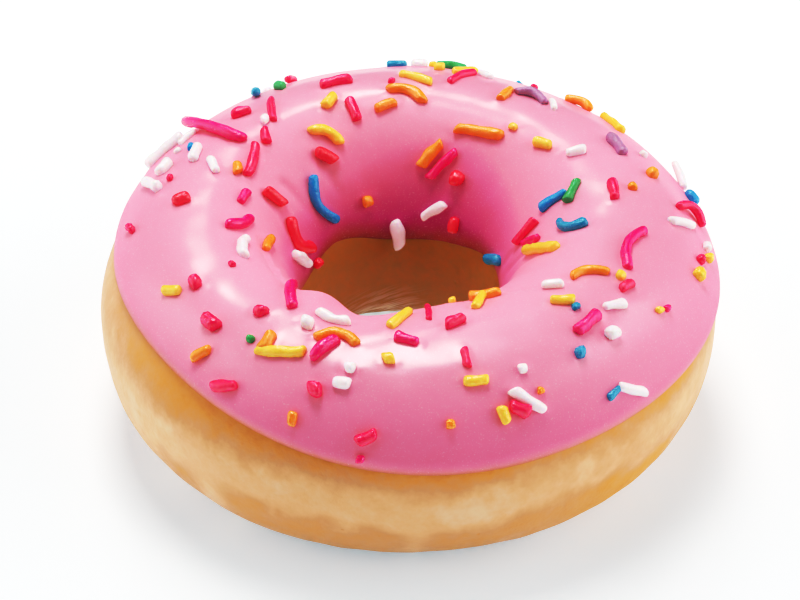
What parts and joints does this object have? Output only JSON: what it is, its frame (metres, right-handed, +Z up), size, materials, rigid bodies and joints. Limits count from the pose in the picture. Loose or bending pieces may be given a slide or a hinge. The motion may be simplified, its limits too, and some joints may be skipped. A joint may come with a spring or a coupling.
{
  "type": "sprinkle frosted doughnut",
  "caption": "Ring doughnut lying flat, with pink icing over its top half and coloured sugar strands scattered on the icing.",
  "frame": {"origin": "centre of the ring, on the surface that the doughnut rests on", "axes": "+Z up along the axis of the hole, +X to the right of a viewer who looks along +Y"},
  "size_m": [0.0895, 0.0898, 0.0357],
  "materials": {
    "dough": "satin",
    "icing": "gloss"
  },
  "bodies": {
    "root": {"dough": "dough", "icing": "icing"}
  },
  "joints": []
}
